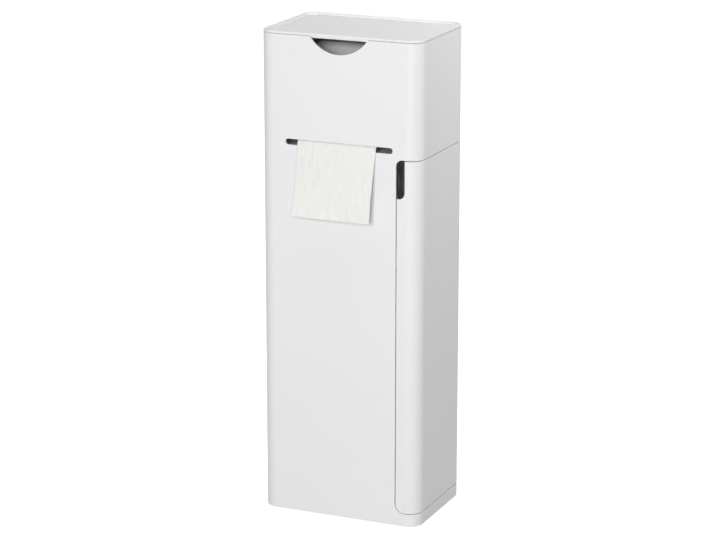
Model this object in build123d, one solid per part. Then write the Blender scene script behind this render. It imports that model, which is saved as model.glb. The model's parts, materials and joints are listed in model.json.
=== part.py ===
from build123d import *
from math import atan2, cos, hypot, sin, sqrt
import os

# Freestanding toilet butler: a slim white tower that stands on the floor beside a toilet.
# The roll of paper lies behind the full-width top section and leaves through a slot.
# A tray lid closes the top, and a wrap-around door on the right hides the brush and its cup.
# Millimetres. X points right and Y back as seen from the front. Z = 0 is the floor.

# Outside of the tower
width = 203.0
depth = 140.0
height = 587.0
corner_radius = 17.0
wall = 2.5
feet_proud = 1.0

# Lid
rim_height = 3.0
rim_width = 5.0
tray_depth = 2.6
lid_gap = 0.6
tray_floor = 2.8
lid_mouth_clearance = 1.0
rim_rounding = 1.3
rim_inner_rounding = 1.4
tray_floor_rounding = 1.1
buffer_radius = 1.0
buffer_height = 0.5
buffer_spread = 55.0

# Lid hinge along the back edge
hinge_barrel_radius = 2.9
hinge_swing_clearance = 0.35
hinge_lug_length = 8.0
hinge_end_gap = 0.3
hinge_pin_radius = 1.1
hinge_pin_length = 15.0

# Door on the right side, below the full-width top section
top_section_height = 140.0
door_bottom = 17.0
seam_gap = 1.0
door_front_return = 28.4
door_back_return = 26.0
door_back_gap = 4.5
door_bottom_corner_radius = 11.0
door_top_corner_radius = 6.5
door_back_corner_radius = 5.0
door_flange_depth = 8.0
door_flange_thickness = 2.5
door_lug_radius = 12.0
edge_rounding = 0.6
grip_width = 9.8
grip_height = 45.0
grip_radius = 7.5

# Door pivots, one above the other in the back right corner
pivot_radius = 2.5
bush_wall = 2.0
bush_flange_width = 2.5
lug_play = 0.3

# Magnetic catch of the door
magnet_radius = 5.0
magnet_thickness = 3.0
magnet_gap = 0.5
catch_behind_corner = 15.0
catch_width = 16.0
catch_nose_height = 13.0
catch_block_length = 14.0
strike_thickness = 1.0
strike_length = 22.0
strike_height = 11.0

# Paper slot and finger notch in the front
slot_width = 136.0
slot_height = 7.0
slot_above_seam = 10.0
notch_width = 73.0
notch_depth = 19.6

# Back opening with its screwed panel
back_stile = 16.0
rear_margin = 8.0
lip_width = 7.0
lip_overlap = 5.0
lip_thickness = 2.5
panel_gap = 0.3

# Floors and the wall between the two lower compartments
floor_thickness = 2.5
floor_lift = 0.5
seat_clearance = 0.2
base_thickness = 3.0
tab_length = 10.0
tab_width = 14.0
tab_thickness = 3.0
tab_y = 30.0
base_tab_x = 35.0
partition_thickness = 2.5
partition_flange = 9.0
window_side_margin = 10.0
window_sill = 100.0
window_top_margin = 26.0
window_corner_radius = 10.0

# Feet and ballast
foot_x_inset = 23.0
foot_y_inset = 23.0
foot_boss_radius = 8.5
foot_radius = 6.5
foot_recess = 1.2
foot_clearance = 0.1
ballast_foot_gap = 6.0
ballast_tab_gap = 2.5
ballast_thickness = 4.0

# Roll of paper and what carries it
roll_radius = 56.0
paper_width = 99.5
paper_shift = -2.7
roll_floor_gap = 4.0
core_outer_radius = 22.0
core_wall = 1.5
core_fit = 0.05
spindle_fit = 0.3
spindle_wall = 2.0
spindle_length = 108.0
spindle_cap_plug = 8.0
spindle_cap_lip = 1.5
axle_radius = 4.7
axle_overhang = 2.0
axle_clearance = 0.3
post_thickness = 3.0
post_width = 28.0
post_side_gap = 3.0
post_above_axle = 9.0
post_foot = 12.0
post_foot_thickness = 2.5

# Sheet of paper that hangs out of the slot
sheet_thickness = 0.6
sheet_clearance = 0.3
sheet_lip_out = 2.6
sheet_lip_radius = 3.4
sheet_hang = 82.5
sheet_stand_off = 19.0
sheet_knee_share = 0.8
sheet_knee_rise = 0.36
sheet_sway_radius = 60.0

# Brush and its cup
cup_x_from_right = 43.0
cup_side_clearance = 4.5
cup_y = -8.0
cup_height = 116.0
cup_bottom_radius = 29.0
cup_top_radius = 32.5
cup_wall = 2.0
cup_floor = 3.0
cup_foot_rounding = 3.0
ring_clearance = 0.4
ring_wall = 2.0
ring_height = 4.0
head_radius = 23.0
head_height = 76.0
head_rounding = 12.0
head_floor_gap = 6.0
hub_radius = 7.0
hub_above_head = 14.0
collar_radius = 31.0
collar_thickness = 3.0
collar_gap = 0.4
collar_neck_radius = 10.0
collar_neck_height = 6.0
handle_radius = 7.0
handle_top = 366.0
handle_waist_radius = 5.0
handle_socket_depth = 10.0

# Screws
screw_radius = 1.5
screw_head_radius = 2.8
screw_head_height = 1.6
screw_drive_span = 3.2
screw_drive_width = 0.7
screw_drive_depth = 1.0
screw_fit = 0.05
screw_tip_stop = 0.6

# Places worked out from the sizes above
half_width = width / 2
half_depth = depth / 2
inner_x = half_width - wall
inner_y = half_depth - wall
inner_radius = corner_radius - wall
rim_bottom = height - rim_height
housing_top = rim_bottom - lid_gap
band_top = door_bottom - seam_gap
section_bottom = height - top_section_height
door_top = section_bottom - seam_gap
slot_z = section_bottom + slot_above_seam
front_edge_x = half_width - door_front_return
back_edge_x = half_width - door_back_return
opening_front_x = front_edge_x - seam_gap
opening_back_x = back_edge_x - door_back_gap
pivot_x = half_width - corner_radius
pivot_y = half_depth - corner_radius
floor_bottom = section_bottom + floor_lift
floor_top = floor_bottom + floor_thickness
base_top = band_top
base_bottom = base_top - base_thickness
hinge_y = half_depth - hinge_barrel_radius
hinge_z = rim_bottom
lug_outer_x = half_width - corner_radius
lug_inner_x = lug_outer_x - hinge_lug_length
rear_left = -(half_width - corner_radius)
rear_right = opening_back_x - back_stile
rear_bottom = door_bottom + rear_margin
rear_top = door_top - rear_margin
roll_z = floor_top + roll_floor_gap + roll_radius
post_x = spindle_length / 2 + spindle_cap_lip + post_side_gap
foot_x = half_width - foot_x_inset
foot_y = half_depth - foot_y_inset
ballast_half_x = foot_x - foot_boss_radius - ballast_foot_gap
ballast_half_y = inner_y - tab_length - ballast_tab_gap
cup_x = half_width - cup_x_from_right
partition_x = cup_x - cup_top_radius - cup_side_clearance - partition_thickness
cup_bottom = base_top + seat_clearance
head_bottom = cup_bottom + cup_floor + head_floor_gap
head_top = head_bottom + head_height
collar_bottom = cup_bottom + cup_height + collar_gap
catch_y = -half_depth + corner_radius + catch_behind_corner
catch_nose_top = door_top - door_flange_thickness - seam_gap
catch_z = catch_nose_top - catch_nose_height / 2


def block(x0, x1, y0, y1, z0, z1):
    """A box between two corners."""
    return Pos((x0 + x1) / 2, (y0 + y1) / 2, (z0 + z1) / 2) * Box(x1 - x0, y1 - y0, z1 - z0)


def rounded_block(half_x, half_y, radius, z0, z1):
    """An upright block with rounded vertical corners, centred on the tower's axis."""
    return Pos(0, 0, z0) * extrude(RectangleRounded(2 * half_x, 2 * half_y, radius), z1 - z0)


def post(x, y, z0, z1, radius):
    """An upright cylinder."""
    return Pos(x, y, (z0 + z1) / 2) * Cylinder(radius, z1 - z0)


def bar_x(x0, x1, y, z, radius):
    """A cylinder that lies along X."""
    return Pos((x0 + x1) / 2, y, z) * Rot(0, 90, 0) * Cylinder(radius, x1 - x0)


def bar_y(x, y0, y1, z, radius):
    """A cylinder that lies along Y."""
    return Pos(x, (y0 + y1) / 2, z) * Rot(90, 0, 0) * Cylinder(radius, y1 - y0)


def front_prism(x0, x1, z0, z1, top_radius, bottom_radius, y0, y1):
    """A rectangle with rounded corners, seen from the front and extruded from y0 to y1."""
    outline = Rectangle(x1 - x0, z1 - z0)
    outline = fillet(outline.vertices().group_by(Axis.Y)[-1], top_radius)
    outline = fillet(outline.vertices().group_by(Axis.Y)[0], bottom_radius)
    seen = Plane(((x0 + x1) / 2, y1, (z0 + z1) / 2), x_dir=(1, 0, 0), z_dir=(0, -1, 0))
    return extrude(seen * outline, y1 - y0)


def wrap_zone(front_x, back_x, z0, z1, gap):
    """The space of the right side, from front_x on the front face round to back_x on the back."""
    top_radius = door_top_corner_radius + gap
    bottom_radius = door_bottom_corner_radius + gap
    back_radius = door_back_corner_radius + gap
    beyond = half_width + 3 * bottom_radius
    front = front_prism(front_x, beyond, z0, z1, top_radius, bottom_radius, -half_depth - wall, 0)
    back = front_prism(back_x, beyond, z0, z1, back_radius, back_radius, 0, half_depth + wall)
    return front + back


def tower_ring(z0, z1):
    """The tower's thin outer wall between two heights."""
    outer = rounded_block(half_width, half_depth, corner_radius, z0, z1)
    return outer - rounded_block(inner_x, inner_y, inner_radius, z0, z1)


def outside_distance(point):
    """How far a point lies outside the tower's rounded outline, as seen from above."""
    over_x = abs(point.X) - (half_width - corner_radius)
    over_y = abs(point.Y) - (half_depth - corner_radius)
    corner = hypot(max(over_x, 0), max(over_y, 0))
    return corner + min(max(over_x, over_y), 0) - corner_radius


def outline_edges(piece):
    """The edges that bound the piece's share of the tower's outer surface."""
    near = edge_rounding / 10
    outer = [face for face in piece.faces() if abs(outside_distance(face.position_at(0.5, 0.5))) < near]
    edges = [edge for face in outer for edge in face.edges()]
    return [edge for edge in edges if sum(edge.is_same(other) for other in edges) == 1]


def rounded_outside(piece, low, high):
    """The piece with its outer edges rounded between two heights."""
    chosen = [edge for edge in outline_edges(piece) if low < edge.position_at(0.5).Z < high]
    return fillet(chosen, edge_rounding)


def screw(x, y, z, direction, length):
    """A countersunk screw with a cross drive: its head lies at the point, its shaft goes along direction."""
    head = Cone(screw_head_radius, screw_radius, screw_head_height)
    shaft = Cylinder(screw_radius, length)
    upright = Pos(0, 0, screw_head_height / 2) * head + Pos(0, 0, length / 2) * shaft
    upright -= Box(screw_drive_span, screw_drive_width, 2 * screw_drive_depth)
    upright -= Box(screw_drive_width, screw_drive_span, 2 * screw_drive_depth)
    return Plane((x, y, z), z_dir=direction) * upright


def screw_hole(x, y, z, direction, length):
    """The room that such a screw takes in the pieces that it joins."""
    head = Cone(screw_head_radius + screw_fit, screw_radius + screw_fit, screw_head_height)
    shaft = Cylinder(screw_radius + screw_fit, length + screw_fit)
    upright = Pos(0, 0, screw_head_height / 2) * head + Pos(0, 0, (length + screw_fit) / 2) * shaft
    return Plane((x, y, z), z_dir=direction) * upright


def with_holes(piece, screws):
    """The piece with the room for its screws taken out."""
    for place in screws:
        piece -= screw_hole(*place)
    return piece


def screw_group(screws):
    """Separate solids, one for each screw."""
    return Compound(children=[screw(*place) for place in screws])


# Where the screws go, each as a point, a direction and a length
floor_screw_length = floor_thickness + tab_thickness
floor_screws = [(side * (inner_x - tab_length / 2), y, floor_bottom, (0, 0, 1), floor_screw_length)
                for side in (-1, 1) for y in (-tab_y, tab_y)]

base_tabs = [(x, side * (inner_y - tab_length / 2)) for x in (-base_tab_x, base_tab_x) for side in (-1, 1)]
base_tabs += [(side * (inner_x - tab_length / 2), 0) for side in (-1, 1)]
base_screw_length = tab_thickness + base_thickness - screw_tip_stop
base_screws = [(x, y, base_bottom - tab_thickness, (0, 0, 1), base_screw_length) for x, y in base_tabs]

ballast_top = base_bottom - screw_fit
ballast_screw_length = ballast_thickness + screw_fit + base_thickness - screw_tip_stop
ballast_screws = [(x * (ballast_half_x - tab_length), y * (ballast_half_y - tab_length),
                   ballast_top - ballast_thickness, (0, 0, 1), ballast_screw_length)
                  for x in (-1, 1) for y in (-1, 1)]

rear_screw_length = wall + lip_thickness
rear_screw_heights = [rear_bottom + lip_width / 2, (rear_bottom + rear_top) / 2, rear_top - lip_width / 2]
rear_screws = [(x, half_depth, z, (0, -1, 0), rear_screw_length)
               for x in (rear_left + lip_width / 2, rear_right - lip_width / 2) for z in rear_screw_heights]

post_foot_x = post_x + post_thickness + post_foot / 2
post_screws = [(side * post_foot_x, y, floor_bottom, (0, 0, 1), floor_thickness + post_foot_thickness)
               for side in (-1, 1) for y in (-post_width / 4, post_width / 4)]

partition_flange_x = partition_x - partition_flange / 2
partition_screw_y = inner_y / 2
partition_screw_length = partition_thickness + floor_thickness
partition_screws = [(partition_flange_x, y, z, direction, partition_screw_length - screw_tip_stop)
                    for y in (-partition_screw_y, partition_screw_y)
                    for z, direction in ((base_top + seat_clearance + partition_thickness, (0, 0, -1)),
                                         (floor_bottom - seat_clearance - partition_thickness, (0, 0, 1)))]

catch_nose_x = inner_x - strike_thickness - magnet_gap - screw_fit
catch_back_x = catch_nose_x - catch_block_length
catch_root_x = inner_x - door_flange_depth - seam_gap
catch_screw_x = (catch_back_x + catch_root_x) / 2
catch_screws = [(catch_screw_x, catch_y + dy, floor_top, (0, 0, -1), floor_thickness + base_thickness)
                for dy in (-catch_width / 4, catch_width / 4)]


def make_housing_shell():
    """The one-piece outer wall with its openings, lips, screw tabs and hinge lugs."""
    shell = tower_ring(feet_proud, housing_top)
    shell -= wrap_zone(opening_front_x, opening_back_x, band_top, section_bottom, seam_gap)
    shell = rounded_outside(shell, 0, section_bottom + wall)
    shell -= paper_slot_cut()
    shell -= finger_notch_cut()
    shell = shell - rear_opening_cut() + rear_lip()
    for side in (-1, 1):
        for y in (-tab_y, tab_y):
            shell += side_tab(side, y, floor_top)
        shell += side_tab(side, 0, base_bottom - tab_thickness)
        for x in (-base_tab_x, base_tab_x):
            shell += face_tab(x, side, base_bottom - tab_thickness)
    shell -= hinge_groove()
    shell += hinge_lugs()
    shell -= hinge_pin_bores(screw_fit / 2)
    return with_holes(shell, floor_screws + base_screws + rear_screws)


def paper_slot_cut():
    """The slot with round ends that the paper leaves by."""
    seen = Plane((0, -inner_y + wall, slot_z), x_dir=(1, 0, 0), z_dir=(0, -1, 0))
    return extrude(seen * SlotOverall(slot_width, slot_height), 3 * wall)


def finger_notch_cut():
    """The half-moon below the lid: a segment of a circle as wide and deep as the notch."""
    radius = ((notch_width / 2) ** 2 + notch_depth ** 2) / (2 * notch_depth)
    return bar_y(0, -half_depth - wall, -inner_y + wall, housing_top - notch_depth + radius, radius)


def rear_opening_cut():
    """The window in the back that the rear panel closes."""
    return block(rear_left, rear_right, inner_y - wall, half_depth + wall, rear_bottom, rear_top)


def rear_lip():
    """The frame inside the back window that the rear panel seats on."""
    front, back = inner_y - lip_thickness, inner_y
    outer = block(rear_left - lip_overlap, rear_right + lip_overlap, front, back,
                  rear_bottom - lip_overlap, rear_top + lip_overlap)
    return outer - block(rear_left + lip_width, rear_right - lip_width, front, back,
                         rear_bottom + lip_width, rear_top - lip_width)


def side_tab(side, y, z):
    """A screw tab on the left or right wall, with z as its lower face."""
    x0, x1 = sorted((side * (inner_x + wall / 2), side * (inner_x - tab_length)))
    return block(x0, x1, y - tab_width / 2, y + tab_width / 2, z, z + tab_thickness)


def face_tab(x, side, z):
    """A screw tab on the front or back wall, with z as its lower face."""
    y0, y1 = sorted((side * (inner_y + wall / 2), side * (inner_y - tab_length)))
    return block(x - tab_width / 2, x + tab_width / 2, y0, y1, z, z + tab_thickness)


def hinge_groove():
    """The hollow along the top of the back wall that the lid's barrel turns in."""
    radius = hinge_barrel_radius + hinge_swing_clearance
    middle = bar_x(-lug_inner_x, lug_inner_x, hinge_y, hinge_z, radius)
    right = bar_x(lug_outer_x, half_width, hinge_y, hinge_z, radius)
    left = bar_x(-half_width, -lug_outer_x, hinge_y, hinge_z, radius)
    return middle + right + left


def hinge_lugs():
    """Two lugs on the back wall that hold the lid's pins."""
    right = bar_x(lug_inner_x, lug_outer_x, hinge_y, hinge_z, hinge_barrel_radius)
    return right + mirror(right, Plane.YZ)


def hinge_pin_bores(clearance):
    """The room for the two hinge pins."""
    right = bar_x(lug_outer_x - hinge_pin_length - clearance, lug_outer_x + seam_gap,
                  hinge_y, hinge_z, hinge_pin_radius + clearance)
    return right + mirror(right, Plane.YZ)


def make_hinge_pins():
    """Two steel pins, held by the lugs and turning in the lid's barrel."""
    inner_end, outer_end = lug_outer_x - hinge_pin_length, lug_outer_x - hinge_end_gap
    right = bar_x(inner_end, outer_end, hinge_y, hinge_z, hinge_pin_radius)
    return Compound(children=[right, mirror(right, Plane.YZ)])


def make_lid_buffers():
    """Soft dots on the rim of the housing that the lid comes down on."""
    front_y = -(half_depth - wall / 2)
    side_x = half_width - wall / 2
    spots = [(-buffer_spread, front_y), (buffer_spread, front_y), (-side_x, -tab_y), (side_x, -tab_y)]
    return Compound(children=[post(x, y, housing_top, housing_top + buffer_height, buffer_radius)
                              for x, y in spots])


def make_lid_tray():
    """The lid: a tray with a raised rim, whose back rim is the hinge barrel."""
    rim = rounded_block(half_width, half_depth, corner_radius, rim_bottom, height)
    recess = rounded_block(half_width - rim_width, half_depth - rim_width, corner_radius - rim_width,
                           height - tray_depth, height)
    recess = fillet(recess.faces().sort_by(Axis.Z)[0].edges(), tray_floor_rounding)
    rim = fillet(rim.faces().sort_by(Axis.Z)[-1].edges(), rim_rounding)
    rim -= recess
    rim = fillet(rim.faces().sort_by(Axis.Z)[-1].inner_wires()[0].edges(), rim_inner_rounding)
    mouth = lid_mouth_clearance
    floor = rounded_block(inner_x - mouth, inner_y - mouth, inner_radius - mouth,
                          rim_bottom - tray_floor, rim_bottom)
    behind = block(-width, width, hinge_y, depth, rim_bottom - tray_floor, 2 * height)
    turning = bar_x(-half_width, half_width, hinge_y, hinge_z, hinge_barrel_radius)
    corners = turning - block(-lug_outer_x, lug_outer_x, 0, depth, 0, 2 * height)
    lid = (rim - behind) + (rim & corners) + (floor - behind)
    lug_room = hinge_barrel_radius + hinge_swing_clearance
    for side in (-1, 1):
        x0, x1 = sorted((side * (lug_inner_x - hinge_end_gap), side * (lug_outer_x + hinge_end_gap)))
        lid -= block(x0, x1, hinge_y - lug_room, depth, 0, 2 * height)
    barrel_end = lug_inner_x - hinge_end_gap
    lid += bar_x(-barrel_end, barrel_end, hinge_y, hinge_z, hinge_barrel_radius)
    return lid - hinge_pin_bores(screw_fit)


def make_rear_panel():
    """The plate that closes the back, flush with the outside."""
    panel = block(rear_left + panel_gap, rear_right - panel_gap, inner_y, half_depth,
                  rear_bottom + panel_gap, rear_top - panel_gap)
    return with_holes(panel, rear_screws)


def make_roll_floor():
    """The floor of the roll's compartment, which also carries the upper pivot."""
    plate = rounded_block(inner_x - seat_clearance, inner_y - seat_clearance, inner_radius - seat_clearance,
                          floor_bottom, floor_top)
    plate -= post(pivot_x, pivot_y, floor_bottom, floor_top, pivot_radius + bush_wall + screw_fit)
    plate = with_holes(plate, floor_screws + post_screws + catch_screws)
    return with_holes(plate, [place for place in partition_screws if place[3][2] > 0])


def make_partition():
    """The wall between spare rolls and brush, with a window that the rolls are lifted through."""
    z0, z1 = base_top + seat_clearance, floor_bottom - seat_clearance
    y0, y1 = -inner_y + seat_clearance, inner_y - lip_thickness - seat_clearance
    x0, x1 = partition_x, partition_x + partition_thickness
    sheet = block(x0, x1, y0, y1, z0, z1)
    sheet -= front_window(x0, x1, y0 + window_side_margin, y1 - window_side_margin,
                          z0 + window_sill, z1 - window_top_margin)
    for low in (z0, z1 - partition_thickness):
        sheet += block(x0 - partition_flange, x0, y0, y1, low, low + partition_thickness)
    return with_holes(sheet, partition_screws)


def front_window(x0, x1, y0, y1, z0, z1):
    """A rounded window seen from the side."""
    seen = Plane((x0, (y0 + y1) / 2, (z0 + z1) / 2), x_dir=(0, 1, 0), z_dir=(1, 0, 0))
    return extrude(seen * RectangleRounded(y1 - y0, z1 - z0, window_corner_radius), x1 - x0)


def foot_places():
    """The four feet, near the corners."""
    return [(x * foot_x, y * foot_y) for x in (-1, 1) for y in (-1, 1)]


def make_base_tray():
    """The bottom plate with its foot bosses and the ring that the brush cup stands in."""
    tray = rounded_block(inner_x - seat_clearance, inner_y - seat_clearance, inner_radius - seat_clearance,
                         base_bottom, base_top)
    boss_bottom = feet_proud + foot_clearance
    for x, y in foot_places():
        tray += post(x, y, boss_bottom, base_bottom, foot_boss_radius)
        tray -= post(x, y, boss_bottom, boss_bottom + foot_recess, foot_radius + foot_clearance)
    ring_inner = cup_bottom_radius + ring_clearance
    ring = post(cup_x, cup_y, base_top, base_top + ring_height, ring_inner + ring_wall)
    tray += ring - post(cup_x, cup_y, base_top, base_top + ring_height, ring_inner)
    tray -= post(pivot_x, pivot_y, base_bottom, base_top, pivot_radius + bush_wall + screw_fit)
    tray = with_holes(tray, base_screws + ballast_screws)
    return with_holes(tray, [place for place in partition_screws if place[3][2] < 0])


def make_rubber_feet():
    """Four round rubber feet that stand a little proud of the wall."""
    top = feet_proud + foot_clearance + foot_recess
    return Compound(children=[post(x, y, 0, top, foot_radius) for x, y in foot_places()])


def make_ballast_plate():
    """The steel plate under the base that keeps the tower from tipping."""
    plate = block(-ballast_half_x, ballast_half_x, -ballast_half_y, ballast_half_y,
                  ballast_top - ballast_thickness, ballast_top)
    return with_holes(plate, ballast_screws)


def make_pivot_bush(z0, z1, flange_z0, flange_z1):
    """A plain flanged bush for a door pivot, in a floor between z0 and z1."""
    bush = post(pivot_x, pivot_y, z0, z1, pivot_radius + bush_wall)
    bush += post(pivot_x, pivot_y, flange_z0, flange_z1, pivot_radius + bush_wall + bush_flange_width)
    bore = pivot_radius + screw_fit
    return bush - post(pivot_x, pivot_y, min(z0, flange_z0), max(z1, flange_z1), bore)


def make_pivot_pins():
    """The two steel pins of the door, pressed into its lugs."""
    lower = post(pivot_x, pivot_y, base_bottom + lug_play, door_bottom + door_flange_thickness, pivot_radius)
    upper = post(pivot_x, pivot_y, door_top - door_flange_thickness, floor_top, pivot_radius)
    return Compound(children=[lower, upper])


def make_side_door():
    """The wrap-around door with its finger notch and its two stiffening flanges."""
    zone = wrap_zone(front_edge_x, back_edge_x, door_bottom, door_top, 0)
    door = (tower_ring(door_bottom, door_top) & zone) - grip_cut()
    door = rounded_outside(door, 0, height)
    for low in (door_bottom, door_top - door_flange_thickness):
        door += door_flange(low) - grip_cut()
    pin_hole = pivot_radius + screw_fit / 2
    return door - post(pivot_x, pivot_y, door_bottom, door_top, pin_hole)


def door_flange(low):
    """A shelf along the inside of the door, with the lug for a pivot pin."""
    high = low + door_flange_thickness
    inset = door_flange_depth
    shelf = rounded_block(inner_x, inner_y, inner_radius, low, high)
    shelf -= rounded_block(inner_x - inset, inner_y - inset, inner_radius - inset, low, high)
    front = block(front_edge_x + door_bottom_corner_radius, half_width, -half_depth, 0, low, high)
    back = block(back_edge_x + door_back_corner_radius, half_width, 0, half_depth, low, high)
    lug = post(pivot_x, pivot_y, low, high, door_lug_radius)
    return (shelf & (front + back)) + lug


def grip_cut():
    """The finger notch at the top of the door's front edge."""
    reach = 3 * grip_radius
    return front_prism(front_edge_x - reach, front_edge_x + grip_width,
                       door_top - grip_height, door_top + reach, grip_radius, grip_radius,
                       -half_depth - wall, -inner_y + door_flange_depth + wall)


def make_magnet_holder():
    """The block under the roll's floor that holds the magnet beside the door."""
    y0, y1 = catch_y - catch_width / 2, catch_y + catch_width / 2
    root = block(catch_back_x, catch_root_x, y0, y1, catch_nose_top - catch_nose_height, floor_bottom)
    nose = block(catch_back_x, catch_nose_x, y0, y1, catch_nose_top - catch_nose_height, catch_nose_top)
    pocket = magnet_bar(screw_fit)
    return with_holes(root + nose - pocket, catch_screws)


def magnet_bar(clearance):
    """The magnet's space in the nose of its holder."""
    deep_end = catch_nose_x - magnet_thickness - clearance
    return bar_x(deep_end, catch_nose_x, catch_y, catch_z, magnet_radius + clearance)


def make_strike_plate():
    """The thin steel plate on the inside of the door that the magnet holds."""
    back = inner_x - screw_fit
    return block(back - strike_thickness, back, catch_y - strike_length / 2, catch_y + strike_length / 2,
                 catch_z - strike_height / 2, catch_z + strike_height / 2)


def make_roll_post(side):
    """An upright plate with a U on top that one end of the spindle lies in."""
    x0, x1 = sorted((side * post_x, side * (post_x + post_thickness)))
    foot_end = side * (post_x + post_thickness + post_foot)
    top = roll_z + post_above_axle
    plate = block(x0, x1, -post_width / 2, post_width / 2, floor_top, top)
    reach = axle_radius + axle_clearance
    plate -= bar_x(x0, x1, 0, roll_z, reach)
    plate -= block(x0, x1, -reach, reach, roll_z, top)
    fx0, fx1 = sorted((side * post_x, foot_end))
    plate += block(fx0, fx1, -post_width / 2, post_width / 2, floor_top, floor_top + post_foot_thickness)
    return with_holes(plate, [place for place in post_screws if place[0] * side > 0])


spindle_radius = core_outer_radius - core_wall - spindle_fit


def make_spindle_tube():
    """The hollow barrel that the roll's core slips over."""
    half = spindle_length / 2
    tube = bar_x(-half, half, 0, roll_z, spindle_radius)
    return tube - bar_x(-half, half, 0, roll_z, spindle_radius - spindle_wall)


def make_spindle_cap(side):
    """An end cap of the spindle with its stub axle."""
    half = spindle_length / 2
    bore = spindle_radius - spindle_wall - screw_fit
    end = post_x + post_thickness + axle_overhang
    plug = bar_x(half - spindle_cap_plug, half + screw_fit, 0, roll_z, bore)
    lip = bar_x(half + screw_fit, half + screw_fit + spindle_cap_lip, 0, roll_z, spindle_radius)
    axle = bar_x(half, end, 0, roll_z, axle_radius)
    axle = chamfer(axle.edges().sort_by(Axis.X)[-1], screw_tip_stop)
    cap = plug + lip + axle
    return cap if side > 0 else mirror(cap, Plane.YZ)


def make_roll_core():
    """The cardboard tube of the roll."""
    half = paper_width / 2
    core = bar_x(paper_shift - half, paper_shift + half, 0, roll_z, core_outer_radius)
    return core - bar_x(paper_shift - half, paper_shift + half, 0, roll_z, core_outer_radius - core_wall)


def make_paper_roll():
    """The wound paper on its core."""
    half = paper_width / 2
    roll = bar_x(paper_shift - half, paper_shift + half, 0, roll_z, roll_radius)
    return roll - bar_x(paper_shift - half, paper_shift + half, 0, roll_z, core_outer_radius + core_fit)


def make_paper_sheet():
    """The end of the paper: from under the roll through the slot, then hanging outwards."""
    lip_y = -half_depth - sheet_lip_out
    lip_z = slot_z + slot_height / 2 - sheet_clearance - sheet_thickness
    start = roll_tangent(lip_y, lip_z)
    low_z = slot_z - sheet_hang
    end = (-half_depth - sheet_stand_off, low_z)
    knee = (-half_depth - sheet_stand_off * sheet_knee_share, low_z + sheet_hang * sheet_knee_rise)
    points = [(0, y, z) for y, z in (start, (lip_y, lip_z), knee, end)]
    path = FilletPolyline(*points, radius=[sheet_lip_radius, sheet_sway_radius])
    section = Plane(path @ 0, x_dir=(1, 0, 0), z_dir=path % 0) * Rectangle(paper_width, sheet_thickness)
    return Pos(paper_shift, 0, 0) * sweep(section, path)


def roll_tangent(y, z):
    """The point under the roll where a straight sheet to the point (y, z) leaves it."""
    radius = roll_radius + sheet_clearance + sheet_thickness / 2
    distance = hypot(y, z - roll_z)
    towards = atan2(z - roll_z, y)
    lean = sqrt(distance ** 2 - radius ** 2)
    angle = towards + atan2(lean, radius)
    return radius * cos(angle), roll_z + radius * sin(angle)


def make_brush_cup():
    """The cup that catches the drips, slightly wider at the top."""
    z1 = cup_bottom + cup_height
    outer = tapered(cup_bottom_radius, cup_top_radius, cup_bottom, z1)
    outer = fillet(outer.edges().sort_by(Axis.Z)[0], cup_foot_rounding)
    slope = (cup_top_radius - cup_bottom_radius) / cup_height
    inner_low = cup_bottom_radius - cup_wall + slope * cup_floor
    inner = tapered(inner_low, cup_top_radius - cup_wall, cup_bottom + cup_floor, z1)
    return outer - inner


def tapered(low_radius, high_radius, z0, z1):
    """An upright cone stub on the cup's axis."""
    return Pos(cup_x, cup_y, (z0 + z1) / 2) * Cone(low_radius, high_radius, z1 - z0)


def make_brush_bristles():
    """The outer shape of the round brush head."""
    head = post(cup_x, cup_y, head_bottom, head_top, head_radius)
    head = fillet(head.edges().filter_by(GeomType.CIRCLE), head_rounding)
    return head - post(cup_x, cup_y, head_bottom + head_rounding, head_top, hub_radius + core_fit)


def make_brush_hub():
    """The plastic core of the head that the handle plugs into."""
    top = head_top + hub_above_head
    hub = post(cup_x, cup_y, head_bottom + head_rounding + core_fit, top, hub_radius)
    return hub - post(cup_x, cup_y, top - handle_socket_depth, top, handle_waist_radius + screw_fit)


def make_brush_collar():
    """The splash guard on the handle that covers the cup."""
    top = collar_bottom + collar_thickness
    neck_top = top + collar_neck_height
    collar = post(cup_x, cup_y, collar_bottom, top, collar_radius)
    collar += post(cup_x, cup_y, top, neck_top, collar_neck_radius)
    return collar - post(cup_x, cup_y, collar_bottom, neck_top, handle_waist_radius + screw_fit)


def make_brush_handle():
    """The round handle: a thin lower rod, a thicker grip and a domed end."""
    socket_floor = head_top + hub_above_head - handle_socket_depth
    grip_bottom = collar_bottom + collar_thickness + collar_neck_height
    rod = post(cup_x, cup_y, socket_floor + screw_fit, grip_bottom + screw_fit, handle_waist_radius)
    grip = post(cup_x, cup_y, grip_bottom + screw_fit, handle_top, handle_radius)
    grip = fillet(grip.edges().sort_by(Axis.Z)[-1], handle_radius - screw_tip_stop)
    return rod + grip


bush_flange_low = band_top, door_bottom - lug_play
bush_flange_high = door_top + lug_play, floor_bottom

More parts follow.
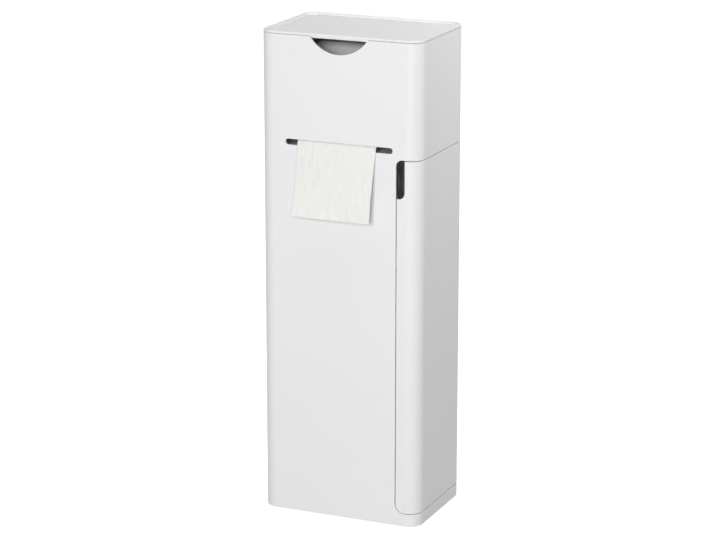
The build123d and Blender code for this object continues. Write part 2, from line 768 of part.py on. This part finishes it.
nodes = {
    "housing_shell": make_housing_shell(),
    "rear_panel": make_rear_panel(),
    "rear_panel_screws": screw_group(rear_screws),
    "roll_floor": make_roll_floor(),
    "floor_screws": screw_group(floor_screws),
    "partition": make_partition(),
    "partition_screws": screw_group(partition_screws),
    "base_tray": make_base_tray(),
    "base_screws": screw_group(base_screws),
    "ballast_plate": make_ballast_plate(),
    "ballast_screws": screw_group(ballast_screws),
    "rubber_feet": make_rubber_feet(),
    "roll_post_left": make_roll_post(-1),
    "roll_post_right": make_roll_post(1),
    "post_screws": screw_group(post_screws),
    "pivot_bush_upper": make_pivot_bush(floor_bottom, floor_top, *bush_flange_high),
    "pivot_bush_lower": make_pivot_bush(base_bottom, base_top, *bush_flange_low),
    "magnet_holder": make_magnet_holder(),
    "magnet_screws": screw_group(catch_screws),
    "door_magnet": magnet_bar(0),
    "lid_hinge_pins": make_hinge_pins(),
    "lid_buffers": make_lid_buffers(),
    "paper_sheet": make_paper_sheet(),
    "lid_tray": make_lid_tray(),
    "spindle_tube": make_spindle_tube(),
    "spindle_cap_left": make_spindle_cap(-1),
    "spindle_cap_right": make_spindle_cap(1),
    "roll_core": make_roll_core(),
    "paper_roll": make_paper_roll(),
    "side_door": make_side_door(),
    "door_pivot_pins": make_pivot_pins(),
    "strike_plate": make_strike_plate(),
    "brush_cup": make_brush_cup(),
    "brush_handle": make_brush_handle(),
    "brush_collar": make_brush_collar(),
    "brush_hub": make_brush_hub(),
    "brush_bristles": make_brush_bristles(),
}

os.makedirs("parts", exist_ok=True)
for name, shape in nodes.items():
    export_step(shape, f"parts/{name}.step")
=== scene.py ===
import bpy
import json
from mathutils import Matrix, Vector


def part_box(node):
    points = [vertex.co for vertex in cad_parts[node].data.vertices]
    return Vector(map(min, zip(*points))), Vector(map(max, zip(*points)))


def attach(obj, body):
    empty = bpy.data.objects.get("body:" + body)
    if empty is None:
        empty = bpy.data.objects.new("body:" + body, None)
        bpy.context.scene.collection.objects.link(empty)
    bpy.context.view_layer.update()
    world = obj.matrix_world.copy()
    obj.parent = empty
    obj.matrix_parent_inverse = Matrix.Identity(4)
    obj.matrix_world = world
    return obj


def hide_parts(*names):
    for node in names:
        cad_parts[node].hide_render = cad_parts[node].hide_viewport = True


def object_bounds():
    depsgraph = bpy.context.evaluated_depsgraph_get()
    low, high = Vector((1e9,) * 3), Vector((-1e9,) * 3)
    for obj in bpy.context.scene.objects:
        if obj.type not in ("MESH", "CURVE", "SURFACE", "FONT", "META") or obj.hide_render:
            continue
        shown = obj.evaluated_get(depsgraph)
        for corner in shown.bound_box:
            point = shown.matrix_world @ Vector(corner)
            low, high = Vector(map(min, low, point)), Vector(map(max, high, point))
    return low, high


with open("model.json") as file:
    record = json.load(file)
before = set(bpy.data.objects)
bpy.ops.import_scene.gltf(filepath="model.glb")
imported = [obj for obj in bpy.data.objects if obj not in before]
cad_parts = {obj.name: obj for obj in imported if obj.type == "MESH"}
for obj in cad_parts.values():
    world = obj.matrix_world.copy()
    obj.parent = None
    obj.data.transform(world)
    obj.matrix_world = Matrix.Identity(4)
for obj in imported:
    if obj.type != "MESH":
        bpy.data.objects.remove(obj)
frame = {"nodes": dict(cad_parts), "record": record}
cad_box = [list(corner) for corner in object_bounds()]

import json
import math
import random

import bpy
from mathutils import Vector, noise as wander

# Freestanding toilet butler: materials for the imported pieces, and the paper and bristles
# as what they are. Metres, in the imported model's frame.

MM = 0.001

# Camera, fitted to the outline, seams and corners of the photographed tower
CAMERA_PLACE = (1.2098, -2.7610, 1.1081)
CAMERA_YAW = 23.771
CAMERA_PITCH = 15.164
CAMERA_LENS = 130.98
SENSOR_WIDTH = 36.0
FAR_CLIP = 100.0

# Light, as the tone that it gives a white surface that faces it
AMBIENT = 0.26
KEY_TONE = 0.62
SIDE_TONE = 0.19
FILL_TONE = 0.052
TOP_TONE = 0.09
BACK_TONE = 0.34

# Floor, as its tone for the light on the tower and as the camera sees it
FLOOR_HALF = 30.0
FLOOR_TONE = 0.5
FLOOR_SHADED_TONE = 0.36
FLOOR_GLOW = 0.91

# Paper
SLOT_TOP = 460.5 * MM
SHEET_THICKNESS = 0.25 * MM
SHEET_STEP = 0.8 * MM
LIP_RADIUS = 3.4 * MM
WRAP_ANGLE = 40.0
WRAP_STEPS = 12
SHEET_OUTSIDE = 91.6 * MM
SHEET_RISE_STOP = 0.8 * MM
LEFT_LEANS = ((0, 0.20), (14, 0.18), (34, 0.14), (60, 0.25), (80, 0.44), (95, 0.56))
RIGHT_LEANS = ((0, 0.24), (14, 0.28), (34, 0.30), (60, 0.23), (80, 0.14), (95, 0.10))
RIB_PITCH = 3.6 * MM
RIB_WANDER = 1.3 * MM
RIB_LENGTH = 13.0 * MM
RIB_DEPTH = 0.42 * MM
RIB_LEAST_SHARE = 0.25
FADE_LAYER = 7
ROLL_LAYER_PITCH = 0.9 * MM
ROLL_LAYER_DEPTH = 0.35 * MM
ROLL_SIDES = 180

# Brush head
STRAND_RADIUS = 0.28 * MM
TUFT_ROWS = 13
TUFTS_PER_ROW = 13
STRANDS_PER_TUFT = 5
TUFT_SPREAD = 2.2 * MM
ROOT_ABOVE_HUB_END = 2.0 * MM
ROOT_BELOW_HEAD_TOP = 5.0 * MM
ROOT_SHARE_OF_HUB = 0.9
LOWEST_TUFT_DROP = 1.5
DROP_FADE = 3.2
STRAND_TURN = 0.09
STRAND_TILT = 0.12
STRAND_LENGTHS = (0.93, 0.99)
STRAND_DROOP = 0.3 * MM
STRAND_TAPER = 0.35
STRAND_GROWTH = 0.25 * MM
HEAD_ROUNDING = 12.0 * MM
RANDOM_SEED = 7


class Tree:
    """A node tree with short calls for making and joining its nodes."""

    def __init__(self, tree):
        self.nodes = tree.nodes
        self.links = tree.links

    def add(self, kind, **inputs):
        """A new node; each keyword sets the input of that name, with underscores for spaces."""
        node = self.nodes.new(kind)
        for name, value in inputs.items():
            self.feed(node, name.replace("_", " "), value)
        return node

    def feed(self, node, name, value):
        """Sets an input socket to a value, or links another node's output to it."""
        if isinstance(value, bpy.types.NodeSocket):
            self.links.new(value, node.inputs[name])
        else:
            node.inputs[name].default_value = value


def new_material(name, **inputs):
    """A material with a Principled shader, and its tree."""
    material = bpy.data.materials.new(name)
    material.use_nodes = True
    tree = Tree(material.node_tree)
    shader = tree.nodes["Principled BSDF"]
    for key, value in inputs.items():
        tree.feed(shader, key.replace("_", " "), value)
    return material, tree, shader


def object_place(tree, stretch=(1, 1, 1)):
    """The place of a surface point in metres, stretched along the axes."""
    where = tree.add("ShaderNodeTexCoord")
    mapping = tree.add("ShaderNodeMapping", Vector=where.outputs["Object"], Scale=stretch)
    return mapping.outputs["Vector"]


def noise(tree, place, scale, detail=3.0, roughness=0.5):
    """Noise between 0 and 1."""
    node = tree.add("ShaderNodeTexNoise", Vector=place, Scale=scale, Detail=detail, Roughness=roughness)
    return node.outputs["Fac"]


def spread(tree, value, low, high):
    """A value from 0 to 1, mapped to the range from low to high."""
    node = tree.add("ShaderNodeMapRange", Value=value, To_Min=low, To_Max=high)
    return node.outputs["Result"]


def tint(tree, value, low, high):
    """A colour between two, by a value from 0 to 1."""
    node = tree.add("ShaderNodeValToRGB", Fac=value)
    node.color_ramp.elements[0].position = 0.3
    node.color_ramp.elements[1].position = 0.7
    node.color_ramp.elements[0].color = (*low, 1)
    node.color_ramp.elements[1].color = (*high, 1)
    return node.outputs["Color"]


def relief(tree, shader, height, depth, strength=1.0, under=None):
    """Bump of the given depth in metres."""
    node = tree.add("ShaderNodeBump", Height=height, Distance=depth, Strength=strength)
    if under is not None:
        tree.feed(node, "Normal", under)
    tree.feed(shader, "Normal", node.outputs["Normal"])
    return node.outputs["Normal"]


def even_grey(tone):
    """A grey with its alpha, for a colour input."""
    return (tone, tone, tone, 1)


def shaded(colour, share):
    """A colour made darker by a share."""
    return tuple(channel * (1 - share) for channel in colour)


def moulded_plastic(name, colour, gloss, grain, grain_depth, flow_depth, mottle=0.02):
    """Injection-moulded plastic: faint mould grain, broad sink marks and uneven gloss."""
    material, tree, shader = new_material(name, IOR=1.49)
    place = object_place(tree)
    broad = noise(tree, place, 9.0, 2.0)
    patches = noise(tree, place, 60.0, 4.0)
    tree.feed(shader, "Base Color", tint(tree, broad, shaded(colour, mottle), colour))
    tree.feed(shader, "Roughness", spread(tree, patches, gloss - 0.04, gloss + 0.05))
    waves = relief(tree, shader, noise(tree, place, 18.0, 1.0), flow_depth)
    relief(tree, shader, noise(tree, place, grain, 2.0), grain_depth, under=waves)
    return material


def brushed_metal(name, colour, gloss, along):
    """Bare metal with fine scratches along one direction and a slightly uneven tone."""
    material, tree, shader = new_material(name, Metallic=1.0)
    place = object_place(tree, along)
    scratches = noise(tree, place, 900.0, 4.0, 0.6)
    cloud = noise(tree, object_place(tree), 180.0, 2.0)
    tree.feed(shader, "Base Color", tint(tree, cloud, shaded(colour, 0.14), colour))
    tree.feed(shader, "Roughness", spread(tree, scratches, gloss - 0.08, gloss + 0.12))
    relief(tree, shader, scratches, 0.02 * MM)
    return material


def painted_steel(name, colour):
    """Black paint with a fine orange peel and a few rubbed patches."""
    material, tree, shader = new_material(name, IOR=1.5)
    place = object_place(tree)
    rubbed = noise(tree, place, 35.0, 5.0, 0.65)
    tree.feed(shader, "Base Color", tint(tree, rubbed, colour, tuple(2.2 * c for c in colour)))
    tree.feed(shader, "Roughness", spread(tree, rubbed, 0.4, 0.62))
    relief(tree, shader, noise(tree, place, 700.0, 2.0), 0.06 * MM)
    return material


def soft_rubber(name, colour, gloss, **inputs):
    """Matt rubber with a fine pebbled skin and some dust."""
    material, tree, shader = new_material(name, IOR=1.52, **inputs)
    place = object_place(tree)
    dust = noise(tree, place, 220.0, 5.0, 0.7)
    tree.feed(shader, "Base Color", tint(tree, dust, colour, tuple(min(1, 1.25 * c + 0.01) for c in colour)))
    tree.feed(shader, "Roughness", spread(tree, dust, gloss - 0.07, gloss + 0.07))
    relief(tree, shader, noise(tree, place, 1600.0, 2.0), 0.05 * MM)
    return material


def card(name, colour):
    """Grey-brown board with fibres and the seam of its spiral winding."""
    material, tree, shader = new_material(name, IOR=1.4)
    place = object_place(tree)
    fibres = noise(tree, object_place(tree, (1, 5, 5)), 500.0, 6.0, 0.7)
    winding = tree.add("ShaderNodeTexWave", Vector=place, Scale=9.0, Distortion=0.4)
    winding.bands_direction = "DIAGONAL"
    seam = tree.add("ShaderNodeMath", Value=winding.outputs["Fac"])
    seam.operation = "GREATER_THAN"
    seam.inputs[1].default_value = 0.985
    tree.feed(shader, "Base Color", tint(tree, fibres, shaded(colour, 0.25), colour))
    tree.feed(shader, "Roughness", spread(tree, fibres, 0.8, 0.95))
    ridge = relief(tree, shader, seam.outputs["Value"], 0.1 * MM)
    relief(tree, shader, fibres, 0.08 * MM, under=ridge)
    return material


def tissue(name, colour):
    """Soft two-ply paper: upright streaks of painted shade for the embossing, fine crepe, loose fibres and a
    little light that comes through.
    """
    material, tree, shader = new_material(name, IOR=1.3, Subsurface_Weight=0.12, Subsurface_Scale=0.6 * MM,
                                          Sheen_Weight=0.15, Sheen_Roughness=0.6)
    place = object_place(tree)
    crepe = noise(tree, object_place(tree, (1, 1, 3)), 700.0, 5.0, 0.65)
    fibres = noise(tree, place, 2600.0, 3.0, 0.7)
    painted_streak_shade = noise(tree, object_place(tree, (1, 0.2, 0.14)), 420.0, 4.0, 0.6)
    # Painted shade: thin upright bands of the base colour are darkened to stand in for the shade of embossed
    # ribs.
    tree.feed(shader, "Base Color", tint(tree, painted_streak_shade, shaded(colour, 0.08), colour))
    tree.feed(shader, "Roughness", spread(tree, crepe, 0.86, 0.98))
    ridges = relief(tree, shader, crepe, 0.10 * MM, 0.8)
    relief(tree, shader, fibres, 0.04 * MM, 0.6, under=ridges)
    return material


def bristle_nylon(name, colour):
    """Clear nylon strands, slightly waxy, with tone changes from strand to strand."""
    material, tree, shader = new_material(name, IOR=1.53, Subsurface_Weight=0.2, Subsurface_Scale=0.5 * MM)
    place = object_place(tree)
    strands = noise(tree, place, 900.0, 2.0)
    tree.feed(shader, "Base Color", tint(tree, strands, shaded(colour, 0.12), colour))
    tree.feed(shader, "Roughness", spread(tree, strands, 0.3, 0.48))
    relief(tree, shader, noise(tree, place, 3000.0, 2.0), 0.02 * MM)
    return material


def make_materials():
    """One finish for each material slot of the record."""
    satin = moulded_plastic("satin_white", (0.87, 0.87, 0.88), 0.50, 1500.0, 0.012 * MM, 0.05 * MM, 0.012)
    inner = moulded_plastic("grained_white", (0.83, 0.83, 0.835), 0.56, 1100.0, 0.04 * MM, 0.06 * MM)
    grey = moulded_plastic("spindle_plastic", (0.33, 0.34, 0.35), 0.5, 1100.0, 0.04 * MM, 0.05 * MM, 0.08)
    nylon = moulded_plastic("natural_nylon", (0.72, 0.71, 0.66), 0.4, 900.0, 0.02 * MM, 0.03 * MM, 0.05)
    return {
        "housing_white": satin,
        "inner_white": inner,
        "screw_steel": brushed_metal("zinc_plate", (0.60, 0.61, 0.63), 0.36, (6, 1, 1)),
        "pin_steel": brushed_metal("ground_steel", (0.66, 0.66, 0.68), 0.26, (1, 1, 8)),
        "ballast_steel": painted_steel("black_paint", (0.02, 0.02, 0.022)),
        "foot_rubber": soft_rubber("black_rubber", (0.025, 0.025, 0.025), 0.82),
        "buffer_clear": soft_rubber("clear_rubber", (0.75, 0.76, 0.77), 0.3, Transmission_Weight=0.5),
        "bush_nylon": nylon,
        "magnet_nickel": brushed_metal("nickel_plate", (0.70, 0.69, 0.67), 0.16, (1, 1, 1)),
        "paper_white": tissue("tissue_paper", (0.93, 0.925, 0.885)),
        "core_card": card("card_tube", (0.42, 0.35, 0.26)),
        "spindle_grey": grey,
        "bristle_white": bristle_nylon("bristle_strands", (0.86, 0.87, 0.88)),
    }


def dress_nodes(materials):
    """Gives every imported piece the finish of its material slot."""
    for part in frame["record"]["subparts"]:
        node = frame["nodes"][part["node"]]
        for slot in node.material_slots:
            slot.material = materials[part["material_slot"]]


def mesh_object(name, points, faces, material, body):
    """A mesh piece with one material that rides on a body."""
    mesh = bpy.data.meshes.new(name)
    mesh.from_pydata(points, [], faces)
    mesh.update()
    for face in mesh.polygons:
        face.use_smooth = True
    mesh.materials.append(material)
    piece = bpy.data.objects.new(name, mesh)
    bpy.context.scene.collection.objects.link(piece)
    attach(piece, body)
    return piece


def grid_faces(columns, rows, closed=False):
    """The faces of a grid whose points are listed row by row."""
    across = columns if closed else columns - 1
    faces = []
    for row in range(rows - 1):
        for column in range(across):
            beside = (column + 1) % columns
            low, high = row * columns, (row + 1) * columns
            faces.append((low + column, low + beside, high + beside, high + column))
    return faces


def between(pairs, value):
    """Straight-line interpolation in a list of (place, value) pairs."""
    for (place0, value0), (place1, value1) in zip(pairs, pairs[1:]):
        if value <= place1:
            share = max(0.0, (value - place0) / (place1 - place0))
            return value0 + share * (value1 - value0)
    return pairs[-1][1]


def embossing(across, along):
    """Height of the upright ribs pressed into the paper, from 0 to 1; they wander and fade in and out."""
    place = Vector((across / (4 * RIB_PITCH), along / (2 * RIB_LENGTH), 0))
    shifted = across + RIB_WANDER * wander.noise(place)
    rib = 0.5 + 0.5 * math.sin(2 * math.pi * shifted / RIB_PITCH)
    fade = 0.5 + 0.5 * wander.noise(Vector((across / RIB_PITCH, along / RIB_LENGTH, FADE_LAYER)))
    return rib * min(1.0, max(0.0, RIB_LEAST_SHARE + fade))


def sheet_line(share, centre, radius, front_y):
    """Points and directions of the paper's path at one place of its width, from the roll to the hem."""
    lip_z = SLOT_TOP - SHEET_RISE_STOP - SHEET_THICKNESS
    reach_y, reach_z = front_y + LIP_RADIUS - centre.y, lip_z - centre.z
    distance = math.hypot(reach_y, reach_z)
    towards = math.atan2(reach_z, reach_y)
    leave = towards + math.acos(radius / distance)
    steps = []
    for index in range(WRAP_STEPS):
        angle = leave + math.radians(WRAP_ANGLE) * (1 - index / WRAP_STEPS)
        steps.append((centre.y + radius * math.cos(angle), centre.z + radius * math.sin(angle)))
    y, z = centre.y + radius * math.cos(leave), centre.z + radius * math.sin(leave)
    run = math.sqrt(distance ** 2 - radius ** 2)
    heading = math.atan2(centre.z + reach_z - z, -(centre.y + reach_y - y))
    count = max(2, round(run / (2 * SHEET_STEP)))
    for index in range(count):
        part = index / count
        steps.append((y - run * part * math.cos(heading), z + run * part * math.sin(heading)))
    y, z = y - run * math.cos(heading), z + run * math.sin(heading)
    gone = 0.0
    while gone < SHEET_OUTSIDE:
        steps.append((y, z))
        left, right = between(LEFT_LEANS, gone / MM), between(RIGHT_LEANS, gone / MM)
        lean = left + (right - left) * share
        target = -(math.pi / 2 - math.atan(lean))
        heading = max(heading - SHEET_STEP / LIP_RADIUS, target)
        y -= SHEET_STEP * math.cos(heading)
        z += SHEET_STEP * math.sin(heading)
        gone += SHEET_STEP
    return steps


def path_length(steps):
    """Length of a line through points."""
    return sum(math.dist(a, b) for a, b in zip(steps, steps[1:]))


def make_paper_sheet(materials):
    """The end of the paper: off the roll, out at the top of the slot and down in front."""
    low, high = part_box("paper_roll")
    sheet_low, sheet_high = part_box("paper_sheet")
    shell_low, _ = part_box("housing_shell")
    centre = (low + high) / 2
    radius = (high.z - low.z) / 2 + SHEET_THICKNESS + SHEET_RISE_STOP
    columns = round((sheet_high.x - sheet_low.x) / SHEET_STEP) + 1
    lines = []
    for column in range(columns):
        share = column / (columns - 1)
        lines.append(sheet_line(share, centre, radius, shell_low.y))
    rows = min(len(line) for line in lines)
    points = []
    for row in range(rows):
        along = path_length(lines[0][:row + 1])
        for column in range(columns):
            x = sheet_low.x + (sheet_high.x - sheet_low.x) * column / (columns - 1)
            y, z = lines[column][row]
            before, after = lines[column][max(row - 1, 0)], lines[column][min(row + 1, rows - 1)]
            turn = Vector((0, after[1] - before[1], before[0] - after[0])).normalized()
            lift = RIB_DEPTH * embossing(x - sheet_low.x, along)
            points.append((x, y + turn.y * lift, z + turn.z * lift))
    piece = mesh_object("paper_end", points, grid_faces(columns, rows), materials["paper_white"], "housing")
    solid = piece.modifiers.new("thickness", "SOLIDIFY")
    solid.thickness = SHEET_THICKNESS
    solid.offset = -1
    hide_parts("paper_sheet")


def make_paper_roll(materials):
    """The wound roll: embossed outside, and the edges of its layers on both ends."""
    low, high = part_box("paper_roll")
    centre = (low + high) / 2
    radius = (high.z - low.z) / 2
    core_low, core_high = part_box("roll_core")
    bore = (core_high.z - core_low.z) / 2
    length = high.x - low.x
    rings = [(low.x, bore)]
    ring_count = round((radius - bore) / (ROLL_LAYER_PITCH / 3))
    for index in range(1, ring_count + 1):
        rings.append((low.x, bore + (radius - bore) * index / ring_count))
    across = round(length / (2 * SHEET_STEP))
    for index in range(1, across):
        rings.append((low.x + length * index / across, radius))
    rings += [(low.x + high.x - x, r) for x, r in reversed(rings[:ring_count + 1])]
    points = []
    for x, r in rings:
        for side in range(ROLL_SIDES):
            turn = 2 * math.pi * side / ROLL_SIDES
            px, pr = x, r
            if x in (low.x, high.x) and bore < r < radius:
                wound = math.sin(2 * math.pi * r / ROLL_LAYER_PITCH + turn)
                sink = ROLL_LAYER_DEPTH * (0.5 + 0.5 * wound)
                px += sink if x == low.x else -sink
            elif low.x < x < high.x:
                pr -= RIB_DEPTH * (1 - embossing(x - low.x, radius * turn))
            points.append((px, centre.y + pr * math.cos(turn), centre.z + pr * math.sin(turn)))
    faces = grid_faces(ROLL_SIDES, len(rings), closed=True)
    last = (len(rings) - 1) * ROLL_SIDES
    for side in range(ROLL_SIDES):
        beside = (side + 1) % ROLL_SIDES
        faces.append((last + side, last + beside, beside, side))
    piece = mesh_object("wound_paper", points, faces, materials["paper_white"], "roll")
    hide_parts("paper_roll")


def strand_points(start, direction, length):
    """Three tapering square rings along one bent bristle."""
    side = direction.orthogonal().normalized()
    other = direction.cross(side)
    points = []
    for share in (0.0, 0.55, 1.0):
        middle = start + direction * (length * share) + Vector((0, 0, -STRAND_DROOP * share ** 2))
        size = STRAND_RADIUS * (1 - STRAND_TAPER * share)
        for angle in (0, 90, 180, 270):
            around = math.radians(angle)
            points.append(middle + size * (side * math.cos(around) + other * math.sin(around)))
    return points


def make_bristles(materials):
    """Tufts of nylon strands that stand out from the hub and fill the head's rounded outline."""
    low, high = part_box("brush_bristles")
    hub_low, hub_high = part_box("brush_hub")
    centre = (low + high) / 2
    root_radius = (hub_high.x - hub_low.x) / 2 * ROOT_SHARE_OF_HUB
    head_radius = (high.x - low.x) / 2
    chance = random.Random(RANDOM_SEED)
    points, faces = [], []
    for row in range(TUFT_ROWS):
        share = row / (TUFT_ROWS - 1)
        root_z = hub_low.z + ROOT_ABOVE_HUB_END + (high.z - ROOT_BELOW_HEAD_TOP - hub_low.z) * share
        drop = LOWEST_TUFT_DROP * max(0.0, 1 - DROP_FADE * share)
        for tuft in range(TUFTS_PER_ROW):
            turn = 2 * math.pi * (tuft + 0.5 * (row % 2)) / TUFTS_PER_ROW
            for _ in range(STRANDS_PER_TUFT):
                lean = turn + chance.uniform(-STRAND_TURN, STRAND_TURN)
                tilt = chance.uniform(-STRAND_TILT, STRAND_TILT) - drop
                direction = Vector((math.cos(lean), math.sin(lean), tilt)).normalized()
                start = Vector((centre.x + root_radius * math.cos(turn),
                                centre.y + root_radius * math.sin(turn), root_z))
                start += Vector((0, 0, chance.uniform(-0.5, 0.5) * TUFT_SPREAD))
                length = strand_length(start, direction, centre, low.z, high.z, head_radius)
                length *= chance.uniform(*STRAND_LENGTHS)
                first = len(points)
                points += strand_points(start, direction, length)
                for ring in (0, 4):
                    for side in range(4):
                        a, b = first + ring + side, first + ring + (side + 1) % 4
                        faces.append((a, b, b + 4, a + 4))
                faces.append(tuple(first + 8 + side for side in range(4)))
    piece = mesh_object("bristle_strands", points, faces, materials["bristle_white"], "brush")
    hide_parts("brush_bristles")


def strand_length(start, direction, centre, low_z, high_z, head_radius):
    """How long a strand can be before it leaves the head's rounded outline."""
    length = 0.0
    while length < 2 * head_radius:
        tip = start + direction * length
        edge = min(tip.z - low_z, high_z - tip.z)
        if edge < STRAND_RADIUS:
            break
        missing = max(0.0, HEAD_ROUNDING - edge)
        limit = head_radius - HEAD_ROUNDING + math.sqrt(HEAD_ROUNDING ** 2 - missing ** 2)
        if math.hypot(tip.x - centre.x, tip.y - centre.y) > limit - STRAND_RADIUS:
            break
        length += STRAND_GROWTH
    return length


def make_camera():
    """The photograph's viewpoint."""
    data = bpy.data.cameras.new("camera")
    data.sensor_width = SENSOR_WIDTH
    data.lens = CAMERA_LENS
    data.clip_end = FAR_CLIP
    camera = bpy.data.objects.new("camera", data)
    camera.location = CAMERA_PLACE
    camera.rotation_euler = (math.radians(90 - CAMERA_PITCH), 0, math.radians(CAMERA_YAW))
    bpy.context.scene.collection.objects.link(camera)
    bpy.context.scene.camera = camera


def make_lamp(name, azimuth, elevation, distance, size, tone, mirrored=True):
    """A square soft light that shines on the middle of the tower and isn't seen itself."""
    data = bpy.data.lights.new(name, "AREA")
    data.size = size
    data.energy = tone * (math.pi * distance) ** 2
    lamp = bpy.data.objects.new(name, data)
    lamp.visible_camera = False
    lamp.visible_glossy = mirrored
    around, up = math.radians(azimuth), math.radians(elevation)
    back = Vector((math.sin(around) * math.cos(up), -math.cos(around) * math.cos(up), math.sin(up)))
    lamp.location = Vector((0, 0, (cad_box[0][2] + cad_box[1][2]) / 2)) + back * distance
    lamp.rotation_mode = "QUATERNION"
    lamp.rotation_quaternion = (-back).to_track_quat("-Z", "Y")
    bpy.context.scene.collection.objects.link(lamp)


def seen_directly(tree):
    """1 for camera, mirror and see-through rays, and 0 for light that is on its way to a surface."""
    path = tree.add("ShaderNodeLightPath")
    total = path.outputs["Is Camera Ray"]
    for name in ("Is Glossy Ray", "Is Transmission Ray"):
        both = tree.add("ShaderNodeMath")
        both.operation = "MAXIMUM"
        tree.links.new(total, both.inputs[0])
        tree.links.new(path.outputs[name], both.inputs[1])
        total = both.outputs["Value"]
    return total


def make_world():
    """Even light from all round, behind a white background."""
    world = bpy.data.worlds.new("studio")
    world.use_nodes = True
    bpy.context.scene.world = world
    tree = Tree(world.node_tree)
    strength = spread(tree, seen_directly(tree), AMBIENT, 1.0)
    background = tree.nodes["Background"]
    background.inputs["Color"].default_value = even_grey(1)
    tree.feed(background, "Strength", strength)


def make_floor():
    """A wide white floor that keeps the tower's shadow."""
    mesh = bpy.data.meshes.new("floor")
    half = FLOOR_HALF
    corners = [(-half, -half, 0), (half, -half, 0), (half, half, 0), (-half, half, 0)]
    mesh.from_pydata(corners, [], [(0, 1, 2, 3)])
    floor = bpy.data.objects.new("floor", mesh)
    bpy.context.scene.collection.objects.link(floor)
    material = bpy.data.materials.new("white_floor")
    material.use_nodes = True
    tree = Tree(material.node_tree)
    tree.nodes.remove(tree.nodes["Principled BSDF"])
    for_light = tree.add("ShaderNodeBsdfDiffuse", Color=even_grey(FLOOR_TONE))
    shadowed = tree.add("ShaderNodeBsdfDiffuse", Color=even_grey(FLOOR_SHADED_TONE))
    glow = tree.add("ShaderNodeEmission", Color=even_grey(1), Strength=FLOOR_GLOW)
    both = tree.add("ShaderNodeAddShader")
    tree.links.new(shadowed.outputs["BSDF"], both.inputs[0])
    tree.links.new(glow.outputs["Emission"], both.inputs[1])
    choice = tree.add("ShaderNodeMixShader", Fac=seen_directly(tree))
    tree.links.new(for_light.outputs["BSDF"], choice.inputs[1])
    tree.links.new(both.outputs["Shader"], choice.inputs[2])
    tree.links.new(choice.outputs["Shader"], tree.nodes["Material Output"].inputs["Surface"])
    mesh.materials.append(material)


materials = make_materials()
dress_nodes(materials)
make_paper_sheet(materials)
make_paper_roll(materials)
make_bristles(materials)
make_camera()
make_lamp("key_light", azimuth=13, elevation=15, distance=3.2, size=1.0, tone=KEY_TONE)
make_lamp("side_light", azimuth=112, elevation=46, distance=0.72, size=0.3, tone=SIDE_TONE)
make_lamp("fill_light", azimuth=108, elevation=6, distance=3.0, size=1.4, tone=FILL_TONE, mirrored=False)
make_lamp("top_light", azimuth=-20, elevation=80, distance=2.0, size=1.2, tone=TOP_TONE)
make_lamp("back_light", azimuth=208, elevation=30, distance=3.0, size=1.4, tone=BACK_TONE, mirrored=False)
make_world()
make_floor()
bpy.context.scene.view_settings.view_transform = "Standard"
